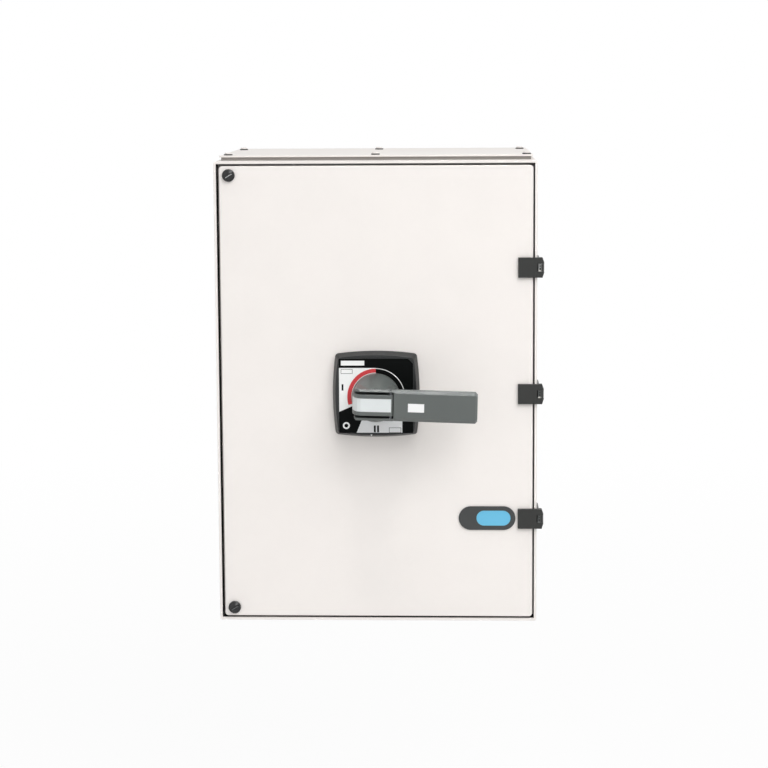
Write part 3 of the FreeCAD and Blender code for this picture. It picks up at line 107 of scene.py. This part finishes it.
def material(name, rgb, rough, grain, depth, metal=0.0, edge=0.6, wear_and_highlight=0.12, spread=0.05, shine=0.5):
    """A procedural finish: mottled colour and sheen, a fine grain, and rounded edges that pale, partly as
    rubbed wear and partly as a painted highlight.

    In mm: grain is the size of the bumps, depth their height, edge the radius of the rounded edges.
    How far the edges pale is the wear-and-highlight amount, and spread how far the mottling darkens the
    colour.
    """
    m = bpy.data.materials.new(name)
    m.use_nodes = True
    tree = m.node_tree
    tree.nodes.clear()
    new = tree.nodes.new
    link = tree.links.new
    base = colour(rgb)
    out = new("ShaderNodeOutputMaterial")
    shader = new("ShaderNodeBsdfPrincipled")
    link(shader.outputs["BSDF"], out.inputs["Surface"])
    shader.inputs["Metallic"].default_value = metal
    shader.inputs["Specular IOR Level"].default_value = shine
    place = new("ShaderNodeTexCoord")

    clouds = new("ShaderNodeTexNoise")
    clouds.inputs["Scale"].default_value = CLOUD_SCALE
    clouds.inputs["Detail"].default_value = CLOUD_DETAIL
    link(place.outputs["Object"], clouds.inputs["Vector"])
    fine = new("ShaderNodeTexNoise")
    fine.inputs["Scale"].default_value = 1 / MM / grain / 2
    fine.inputs["Detail"].default_value = GRAIN_DETAIL
    link(place.outputs["Object"], fine.inputs["Vector"])

    rounded = new("ShaderNodeBevel")
    rounded.samples = EDGE_SAMPLES
    rounded.inputs["Radius"].default_value = edge * MM
    bump = new("ShaderNodeBump")
    bump.inputs["Strength"].default_value = 1.0
    bump.inputs["Distance"].default_value = depth * MM
    link(fine.outputs["Fac"], bump.inputs["Height"])
    link(rounded.outputs["Normal"], bump.inputs["Normal"])
    link(bump.outputs["Normal"], shader.inputs["Normal"])

    flat = new("ShaderNodeNewGeometry")
    match = new("ShaderNodeVectorMath")
    match.operation = "DOT_PRODUCT"
    link(rounded.outputs["Normal"], match.inputs[0])
    link(flat.outputs["Normal"], match.inputs[1])
    # Paler edges: partly rubbed wear, partly a painted highlight along the edges
    edge_wear_and_highlight = ranged(tree, match.outputs["Value"], EDGE_RANGE, (0.0, wear_and_highlight))

    toned = new("ShaderNodeVectorMath")
    toned.operation = "SCALE"
    toned.inputs[0].default_value = base
    link(ranged(tree, clouds.outputs["Fac"], CLOUD_RANGE, (1.0 - spread, 1.0)), toned.inputs["Scale"])
    wear_and_highlight_mix = new("ShaderNodeMix")
    wear_and_highlight_mix.data_type = "RGBA"
    wear_and_highlight_mix.inputs["B"].default_value = tuple(EDGE_PALING + (1 - EDGE_PALING) * c for c in base) + (1.0,)
    link(edge_wear_and_highlight, wear_and_highlight_mix.inputs["Factor"])
    link(toned.outputs["Vector"], wear_and_highlight_mix.inputs["A"])
    link(wear_and_highlight_mix.outputs["Result"], shader.inputs["Base Color"])

    sheen = (max(rough - SHEEN_GLOSSIER, SMOOTHEST), min(rough + SHEEN_DULLER, 1.0))
    link(ranged(tree, clouds.outputs["Fac"], CLOUD_RANGE, sheen), shader.inputs["Roughness"])
    return m


def printed(rgb, shine):
    """The look of a thin, smooth layer of print."""
    return dict(rgb=rgb, rough=0.4, grain=0.5, depth=0.003, edge=0.05, wear_and_highlight=0.0, shine=shine)


CAD_LOOKS = {
    "body_paint": dict(
        rgb=(244, 239, 235), rough=0.52, grain=0.9, depth=0.02,
        edge=0.7, wear_and_highlight=0.05, spread=0.02, shine=0.25,
    ),
    "gasket_grey": dict(rgb=(150, 146, 142), rough=0.85, grain=0.5, depth=0.05),
    "galvanised": dict(rgb=(176, 179, 182), rough=0.42, grain=3.0, depth=0.01, metal=0.85, spread=0.18),
    "steel": dict(rgb=(182, 184, 186), rough=0.3, grain=0.8, depth=0.006, metal=1.0, edge=0.3, spread=0.1),
    "hinge_black": dict(
        rgb=(37, 38, 36), rough=0.38, grain=0.5, depth=0.015, edge=0.5, wear_and_highlight=0.15, spread=0.14,
    ),
    "lock_black": dict(rgb=(18, 20, 20), rough=0.24, grain=0.5, depth=0.004, edge=0.5, wear_and_highlight=0.3),
    "nameplate_dark": dict(rgb=(58, 60, 60), rough=0.35, grain=0.5, depth=0.004, edge=0.3),
    "nameplate_blue": dict(rgb=(106, 192, 228), rough=0.4, grain=0.5, depth=0.004, edge=0.2),
    # The dial frame's strong edge paling is a painted highlight on its raised edges
    "escutcheon_grey": dict(rgb=(27, 29, 30), rough=0.34, grain=0.5, depth=0.02, edge=0.9, wear_and_highlight=0.34),
    "dial_print": dict(
        rgb=(12, 14, 14), rough=0.4, grain=0.5, depth=0.004, edge=0.2, wear_and_highlight=0.04, shine=0.05,
    ),
    # The handle's edge paling is partly a painted highlight on the grip's bevels
    "handle_black": dict(
        rgb=(94, 99, 97), rough=0.36, grain=0.5, depth=0.02, edge=1.4, wear_and_highlight=0.2, spread=0.09,
    ),
    "pointer_light": dict(rgb=(222, 227, 227), rough=0.4, grain=0.6, depth=0.008, edge=0.4),
    "socket_grey": dict(rgb=(96, 98, 102), rough=0.5, grain=0.6, depth=0.02),
    "moulding_dark": dict(rgb=(52, 53, 56), rough=0.55, grain=0.6, depth=0.03),
    "moulding_light": dict(rgb=(196, 190, 176), rough=0.55, grain=0.6, depth=0.03),
    "copper": dict(rgb=(196, 132, 98), rough=0.3, grain=0.8, depth=0.005, metal=1.0, spread=0.15),
}
ADDED_LOOKS = {
    "print_white": printed((253, 254, 253), 0.2),
    # Grey print, lightened nearly to white: painted light against the handle's shadow over the second
    # field
    "print_grey_and_painted_light": printed((246, 247, 248), 0.2),
    "print_black": printed((11, 13, 13), 0.05),
    "print_red": printed((214, 70, 74), 0.2),
    "print_dark": printed((8, 9, 9), 0.1),
    "metal_bright": dict(
        rgb=(206, 204, 198), rough=0.3, grain=0.5, depth=0.004, metal=0.6, edge=0.1, wear_and_highlight=0.0,
    ),
    # Painted shade for the gap round the door
    "painted_gap_shade": dict(rgb=(50, 50, 49), rough=0.8, grain=0.6, depth=0.02, edge=0.1, wear_and_highlight=0.0, shine=0.1),
    "rib_dull": dict(rgb=(92, 95, 95), rough=0.4, grain=0.5, depth=0.004, edge=0.1, wear_and_highlight=0.0),
    "rib_light": dict(rgb=(176, 178, 178), rough=0.45, grain=0.5, depth=0.006, edge=0.2, wear_and_highlight=0.1),
    "sticker_white": dict(rgb=(246, 246, 246), rough=0.5, grain=0.5, depth=0.003, edge=0.05, wear_and_highlight=0.0),
}
FINISH = {name: material(name, **look) for name, look in CAD_LOOKS.items()}
ADDED = {name: material(name, **look) for name, look in ADDED_LOOKS.items()}

SLOTS = {sub["node"]: sub["material_slot"] for sub in frame["record"]["subparts"]}
for node_name, node in nodes.items():
    node.data.materials.clear()
    node.data.materials.append(FINISH[SLOTS[node_name]])
# The steel pin takes the dark socket grey: painted shade, so that its ends stay dark in the narrow gaps
# beside the lever
nodes["padlock_lever_pin"].data.materials[0] = FINISH["socket_grey"]


# Mesh helpers; positions are in mm in the part's frame
ARC_STEPS = 48
TURN_SIDES = 32
TURN_SMOOTH = math.radians(35)


def piece(name, verts, faces, finish, body, smooth_angle=None):
    """A mesh with one finish that rides on a CAD body."""
    mesh = bpy.data.meshes.new(name)
    mesh.from_pydata([tuple(c * MM for c in v) for v in verts], [], faces)
    mesh.validate()
    mesh.update()
    if smooth_angle is not None:
        mesh.polygons.foreach_set("use_smooth", [True] * len(mesh.polygons))
        mesh.set_sharp_from_angle(angle=smooth_angle)
    mesh.materials.append(finish)
    obj = bpy.data.objects.new(name, mesh)
    bpy.context.scene.collection.objects.link(obj)
    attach(obj, body)


def plate_faces(count):
    """Faces of an extruded outline whose back ring comes first."""
    back = list(range(count))
    front = list(range(count, 2 * count))
    faces = [tuple(back), tuple(reversed(front))]
    for i in range(count):
        j = (i + 1) % count
        faces.append((back[i], front[i], front[j], back[j]))
    return faces


def flat_piece(name, outline, front, back, finish, body):
    """An outline of (x, z) points, counter-clockwise from the front, extruded along Y."""
    verts = [(x, back, z) for x, z in outline] + [(x, front, z) for x, z in outline]
    piece(name, verts, plate_faces(len(outline)), finish, body)


def rectangle(x0, x1, z0, z1):
    """Outline of an upright rectangle."""
    return [(x0, z0), (x1, z0), (x1, z1), (x0, z1)]


def ring_sector(cx, cz, inner, outer, start, stop):
    """Outline of an arc band between two angles in degrees."""
    angles = [math.radians(start + (stop - start) * i / ARC_STEPS) for i in range(ARC_STEPS + 1)]
    out = [(cx + outer * math.cos(a), cz + outer * math.sin(a)) for a in angles]
    back = [(cx + inner * math.cos(a), cz + inner * math.sin(a)) for a in reversed(angles)]
    return out + back


def turned_piece(name, profile, centre, axis, finish, body):
    """A profile of (radius, height) turned about an axis through centre; heights run along the axis."""
    verts = []
    faces = []
    for radius, height in profile:
        for i in range(TURN_SIDES):
            a = 2 * math.pi * i / TURN_SIDES
            verts.append((radius * math.cos(a), radius * math.sin(a), height))
    for row in range(len(profile) - 1):
        for i in range(TURN_SIDES):
            j = (i + 1) % TURN_SIDES
            p = row * TURN_SIDES
            q = p + TURN_SIDES
            faces.append((p + i, p + j, q + j, q + i))
    faces.append(tuple(reversed(range(TURN_SIDES))))
    last = (len(profile) - 1) * TURN_SIDES
    faces.append(tuple(range(last, last + TURN_SIDES)))
    turn = Vector((0, 0, 1)).rotation_difference(Vector(axis)).to_matrix()
    placed = [tuple(turn @ Vector(v) + Vector(centre)) for v in verts]
    piece(name, placed, faces, finish, body, TURN_SMOOTH)


# Dial print, in mm from the handle's axis
AXIS_Z = -2.0
INK = 0.05
BARE_EDGE = 0.2
BOX_LINE = 0.5

label_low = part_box("dial_label")[0]
label_face = label_low.y / MM
print_left = label_low.x / MM + BARE_EDGE
print_low = label_low.z / MM - AXIS_Z + BARE_EDGE

FIELD_ONE = [(print_left, -18.5), (-29.0, -11.2), (0.0, 0.0), (0.0, 36.5), (print_left, 36.5)]
FIELD_TWO = [(-24.4, print_low), (32.5, print_low), (32.5, -20.0), (0.0, 0.0), (-17.5, -28.3)]
DIAL_PRINT = (
    ("dial_field_one", FIELD_ONE, "print_white", 1),
    ("dial_field_two", FIELD_TWO, "print_grey_and_painted_light", 1),
    ("dial_name_blank", rectangle(-43.4, -14.3, 39.6, 45.6), "print_white", 1),
    ("dial_arc_red", ring_sector(0, 0, 30.7, 35.7, 90, 196), "print_red", 2),
    ("dial_disc_black", ring_sector(0, 0, 0.1, 35.2, 0, 90), "print_black", 2),
    ("dial_arc_white", ring_sector(0, 0, 35.3, 36.1, 16, 90), "print_white", 3),
    ("dial_mark_one", rectangle(-42.6, -40.4, 8.2, 16.2), "print_dark", 2),
    ("dial_mark_two_0", rectangle(-2.9, -0.5, -44.4, -35.8), "print_dark", 2),
    ("dial_mark_two_1", rectangle(1.1, 3.5, -44.4, -35.8), "print_dark", 2),
    ("dial_mark_off", ring_sector(-37.1, -35.9, 2.4, 4.4, 0, 360), "print_white", 2),
)


def ink(name, outline, finish, layer):
    """A printed field on the dial; higher layers lie on top of lower ones."""
    placed = [(x, AXIS_Z + z) for x, z in outline]
    flat_piece(name, placed, label_face - layer * INK, label_face, ADDED[finish], "door")


def outlined_box(name, x0, x1, z0, z1, inside):
    """A blank box with a thin printed border."""
    blank = rectangle(x0 + BOX_LINE, x1 - BOX_LINE, z0 + BOX_LINE, z1 - BOX_LINE)
    ink(name + "_line", rectangle(x0, x1, z0, z1), "print_black", 2)
    ink(name + "_blank", blank, inside, 3)


for field in DIAL_PRINT:
    ink(*field)
outlined_box("dial_box_one", -43.5, -29.0, 29.3, 35.0, "print_white")
outlined_box("dial_box_two", 16.0, 31.0, -45.0, -38.4, "print_grey_and_painted_light")


# Small mark in the foot of the dial plate's frame
MARK_X = -5.9
MARK_WIDTH = 2.6
MARK_ABOVE_FOOT = 4.5
MARK_HEIGHT = 2.2
MARK_OUT = 0.05
MARK_DEPTH = 3.0


def frame_mark():
    """A small pale triangle that points down."""
    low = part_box("escutcheon")[0]
    z = low.z / MM + MARK_ABOVE_FOOT
    half = MARK_WIDTH / 2
    outline = [(MARK_X, z - MARK_HEIGHT), (MARK_X + half, z), (MARK_X - half, z)]
    front = low.y / MM - MARK_OUT
    back = low.y / MM + MARK_DEPTH
    flat_piece("frame_mark", outline, front, back, ADDED["sticker_white"], "door")


frame_mark()


# Painted highlights in the slots of the lock heads
SLOT_ANGLE = math.radians(32)
SLOT_HALF_LENGTH = 4.4
SLOT_SHINE_LOW = -1.1
SLOT_SHINE_HIGH = -0.1
SLOT_SHINE_DEPTH = 2.2


def slot_shine(body, finish):
    """A pale bar in the lower half of a lock head's slot: a painted highlight where the slot's lower wall
    catches the light.
    """
    low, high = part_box(body + "_spindle")
    cx, cz = (low.x + high.x) / 2 / MM, (low.z + high.z) / 2 / MM
    c, s = math.cos(SLOT_ANGLE), math.sin(SLOT_ANGLE)
    corners = rectangle(-SLOT_HALF_LENGTH, SLOT_HALF_LENGTH, SLOT_SHINE_LOW, SLOT_SHINE_HIGH)
    outline = [(cx + u * c - v * s, cz + u * s + v * c) for u, v in corners]
    front = low.y / MM
    back = front + SLOT_SHINE_DEPTH
    flat_piece(body + "_slot_shine", outline, front, back, ADDED[finish], body)


slot_shine("lock_upper", "rib_light")
slot_shine("lock_lower", "rib_dull")


# Gland plate fixings; each row has its distance from the front edge and its places from left to right
# The dark washer under each cap is painted shade
SHADE_WASHER = [(5.5, 0.0), (5.5, 1.1), (5.1, 1.4)]
CAP = [(4.3, 1.4), (4.3, 2.7), (3.7, 3.2)]
FIXING_ROWS = ((18, (-186, -1, 188)), (204, (-186, -3, 186)))


def fixing(name, centre, up):
    """A pale cap on a low dark washer; the dark washer is painted shade, standing for the shaded side and
    shadow of the fixing's head.
    """
    for part, profile, slot in (("_painted_shade", SHADE_WASHER, "hinge_black"), ("_cap", CAP, "body_paint")):
        turned_piece(name + part, profile, centre, (0, 0, up), FINISH[slot], "enclosure")


for side, node_name, up in (("top", "top_gland_plate", 1), ("bottom", "bottom_gland_plate", -1)):
    low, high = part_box(node_name)
    face = (high.z if up > 0 else low.z) / MM
    for row, (distance, places) in enumerate(FIXING_ROWS):
        for column, x in enumerate(places):
            fixing("%s_fixing_%d%d" % (side, row, column), (x, low.y / MM + distance, face), up)


# Sticker on the grip
GRIP_SLOPE = 0.0562
HANDLE_SAG = math.radians(1.4)
GRIP_TIP_ROUND = 2.5
STICKER_X = 50.8
STICKER_LENGTH = 19.6
STICKER_DROP = 1.9
STICKER_HEIGHT = 10.4
STICKER_THICKNESS = 0.15


def grip_sticker():
    """A blank label on the grip's sloping front."""
    low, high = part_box("handle")
    crest_x, crest_y = high.x / MM - GRIP_TIP_ROUND, low.y / MM
    verts = []
    for lift in (-STICKER_THICKNESS, STICKER_THICKNESS):
        for dx, dz in ((-0.5, -0.5), (0.5, -0.5), (0.5, 0.5), (-0.5, 0.5)):
            x = STICKER_X + dx * STICKER_LENGTH
            z = dz * STICKER_HEIGHT - STICKER_DROP
            y = crest_y + (crest_x - x) * GRIP_SLOPE - lift
            turned_x = x * math.cos(HANDLE_SAG) + z * math.sin(HANDLE_SAG)
            turned_z = z * math.cos(HANDLE_SAG) - x * math.sin(HANDLE_SAG)
            verts.append((turned_x, y, AXIS_Z + turned_z))
    piece("grip_sticker", verts, plate_faces(4), ADDED["sticker_white"], "handle")


grip_sticker()


# Ribs on the hinges' middle knuckles, in mm from the pin
HINGE_HEIGHT = 24.2
RIB_LEFT = -3.1
RIB_RIGHT = 0.6
RIB_WIDTH = 0.9
RIB_FOOT = -2.9
RIB_TOP = 4.9
CROSS_RIBS = (0.2, 3.0)
BAR_FOOT = -4.6
RIB_FRONT = -3.85
RIB_BACK = -2.6


def knuckle_ribs():
    """Two upright ribs, cross ribs and a bar below them on each knuckle, duller on the lower hinges."""
    low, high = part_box("hinge_pins")
    pin_x, pin_y = (low.x + high.x) / 2 / MM, (low.y + high.y) / 2 / MM
    spacing = (high.z - low.z) / 2 / MM - HINGE_HEIGHT / 2
    front = pin_y + RIB_FRONT
    back = pin_y + RIB_BACK
    ribs = [
        (RIB_LEFT, RIB_LEFT + RIB_WIDTH, RIB_FOOT, RIB_TOP),
        (RIB_RIGHT - RIB_WIDTH, RIB_RIGHT, RIB_FOOT, RIB_TOP),
    ]
    ribs += [(RIB_LEFT, RIB_RIGHT, z, z + RIB_WIDTH) for z in CROSS_RIBS]
    bar = (RIB_LEFT, RIB_RIGHT, BAR_FOOT, RIB_FOOT)
    hinges = (
        (spacing, "rib_light", "metal_bright"),
        (0.0, "rib_dull", "metal_bright"),
        (-spacing, "rib_dull", "rib_dull"),
    )
    for index, (z, rib_finish, bar_finish) in enumerate(hinges):
        for part, (x0, x1, z0, z1) in enumerate(ribs + [bar]):
            outline = rectangle(pin_x + x0, pin_x + x1, z + z0, z + z1)
            finish = ADDED[bar_finish if part == len(ribs) else rib_finish]
            name = "hinge_rib_%d%d" % (index, part)
            flat_piece(name, outline, front, back, finish, "enclosure")


knuckle_ribs()


# Painted shade: a dark strip round the inside of the rim, darkening the gap between door and rim where
# shade falls
STRIP_START = 3.0
STRIP_THICKNESS = 0.25


def rim_painted_shade():
    """Four thin dark strips from just behind the rim's front edge to the ledge: painted shade deep in the
    door gap.
    """
    low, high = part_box("gutter_ledge")
    x0, x1, z0, z1 = low.x / MM, high.x / MM, low.z / MM, high.z / MM
    thick = STRIP_THICKNESS
    sides = {
        "left": (x0, x0 + thick, z0, z1), "right": (x1 - thick, x1, z0, z1),
        "bottom": (x0, x1, z0, z0 + thick), "top": (x0, x1, z1 - thick, z1),
    }
    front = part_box("enclosure_body")[0].y / MM + STRIP_START
    back = low.y / MM
    dark = ADDED["painted_gap_shade"]
    for side, sizes in sides.items():
        outline = rectangle(*sizes)
        flat_piece("rim_painted_shade_" + side, outline, front, back, dark, "enclosure")


rim_painted_shade()


# Stage, in metres
AROUND = 0.6
AROUND_RANGE = (0.68, 1.05)
FLOOR_DROP = 0.32
FLOOR_SIZE = 12.0
FLOOR_GRAIN = 6.0
FLOOR_TONE = (0.8, 0.86)
FLOOR_SHARE = 0.94
FADE_DISTANCE = (0.7, 2.6)
DOOR_MIDDLE = (0, -0.25, 0)
GRIP_TOP = (0.06, -0.36, 0)


def white_to_camera(tree, shaded, white_kind, share):
    """Mix a shader with a share of white where the camera sees it, also mirrored or through glass."""
    white = tree.nodes.new(white_kind)
    white.inputs["Strength"].default_value = 1.0
    white.inputs["Color"].default_value = (1, 1, 1, 1)
    rays = tree.nodes.new("ShaderNodeLightPath")
    seen = combined(tree, "MAXIMUM", rays.outputs["Is Camera Ray"], rays.outputs["Is Glossy Ray"])
    seen = combined(tree, "MAXIMUM", seen, rays.outputs["Is Transmission Ray"])
    pick = tree.nodes.new("ShaderNodeMixShader")
    tree.links.new(combined(tree, "MULTIPLY", seen, share), pick.inputs["Fac"])
    tree.links.new(shaded.outputs[0], pick.inputs[1])
    tree.links.new(white.outputs[0], pick.inputs[2])
    return pick.outputs["Shader"]


def studio_world():
    """Soft light from all round, a little stronger from above; white to the camera."""
    world = bpy.data.worlds.new("studio")
    bpy.context.scene.world = world
    world.use_nodes = True
    tree = world.node_tree
    tree.nodes.clear()
    out = tree.nodes.new("ShaderNodeOutputWorld")
    around = tree.nodes.new("ShaderNodeBackground")
    around.inputs["Strength"].default_value = AROUND
    place = tree.nodes.new("ShaderNodeTexCoord")
    split = tree.nodes.new("ShaderNodeSeparateXYZ")
    tree.links.new(place.outputs["Generated"], split.inputs["Vector"])
    tree.links.new(ranged(tree, split.outputs["Z"], (-1.0, 1.0), AROUND_RANGE), around.inputs["Color"])
    tree.links.new(white_to_camera(tree, around, "ShaderNodeBackground", 1.0), out.inputs["Surface"])


def studio_floor():
    """A pale floor well below the enclosure; white to the camera but for a trace of shading near it."""
    z = cad_low.z - FLOOR_DROP
    half = FLOOR_SIZE / 2
    corners = [(-half, -half, z), (half, -half, z), (half, half, z), (-half, half, z)]
    mesh = bpy.data.meshes.new("floor")
    mesh.from_pydata(corners, [], [(0, 1, 2, 3)])
    m = bpy.data.materials.new("floor_pale")
    m.use_nodes = True
    tree = m.node_tree
    tree.nodes.clear()
    out = tree.nodes.new("ShaderNodeOutputMaterial")
    matt = tree.nodes.new("ShaderNodeBsdfDiffuse")
    grain = tree.nodes.new("ShaderNodeTexNoise")
    grain.inputs["Scale"].default_value = FLOOR_GRAIN
    tree.links.new(ranged(tree, grain.outputs["Fac"], (0.0, 1.0), FLOOR_TONE), matt.inputs["Color"])
    place = tree.nodes.new("ShaderNodeTexCoord")
    distance = tree.nodes.new("ShaderNodeVectorMath")
    distance.operation = "LENGTH"
    tree.links.new(place.outputs["Object"], distance.inputs[0])
    share = ranged(tree, distance.outputs["Value"], FADE_DISTANCE, (FLOOR_SHARE, 1.0))
    tree.links.new(white_to_camera(tree, matt, "ShaderNodeEmission", share), out.inputs["Surface"])
    mesh.materials.append(m)
    obj = bpy.data.objects.new("floor", mesh)
    bpy.context.scene.collection.objects.link(obj)


def softbox(name, place, target, width, height, power, spread=180):
    """A rectangular lamp aimed at target; power is in watts and spread in degrees."""
    data = bpy.data.lights.new(name, "AREA")
    data.shape = "RECTANGLE"
    data.size = width
    data.size_y = height
    data.energy = power
    data.spread = math.radians(spread)
    obj = bpy.data.objects.new(name, data)
    obj.location = place
    obj.rotation_mode = "QUATERNION"
    obj.rotation_quaternion = (Vector(target) - Vector(place)).to_track_quat("-Z", "Y")
    bpy.context.scene.collection.objects.link(obj)


studio_world()
studio_floor()
softbox("key", (1.5, -2.5, 2.3), DOOR_MIDDLE, width=2.6, height=2.2, power=69)
softbox("fill", (-1.6, -2.6, 0.6), DOOR_MIDDLE, width=1.6, height=2.0, power=3)
softbox("over", (0.08, -0.62, 1.5), GRIP_TOP, width=0.7, height=0.2, power=0.17, spread=16)


# Camera, placed as the photograph shows the object; angles are in degrees
YAW = -1.984
PITCH = 6.525
ROLL = -0.334
CAMERA_PLACE = (0.0913, -2.6167, 0.3863)
SENSOR_WIDTH = 36.0
LENS = 89.085
SHIFT_Y = -0.11
CLIP_END = 50.0


def camera():
    """A camera that looks slightly down on the front."""
    yaw, pitch, roll = (math.radians(a) for a in (YAW, PITCH, ROLL))
    ahead = Vector((math.sin(yaw) * math.cos(pitch), math.cos(yaw) * math.cos(pitch), -math.sin(pitch)))
    right = Vector((math.cos(yaw), -math.sin(yaw), 0))
    up = right.cross(ahead)
    tilted = right * math.cos(roll) + up * math.sin(roll)
    raised = up * math.cos(roll) - right * math.sin(roll)
    data = bpy.data.cameras.new("camera")
    data.sensor_width = SENSOR_WIDTH
    data.lens = LENS
    data.shift_y = SHIFT_Y
    data.clip_end = CLIP_END
    obj = bpy.data.objects.new("camera", data)
    rotation = Matrix((tilted, raised, -ahead)).transposed().to_4x4()
    obj.matrix_world = Matrix.Translation(CAMERA_PLACE) @ rotation
    bpy.context.scene.collection.objects.link(obj)
    bpy.context.scene.camera = obj


camera()
bpy.context.scene.view_settings.view_transform = "Standard"
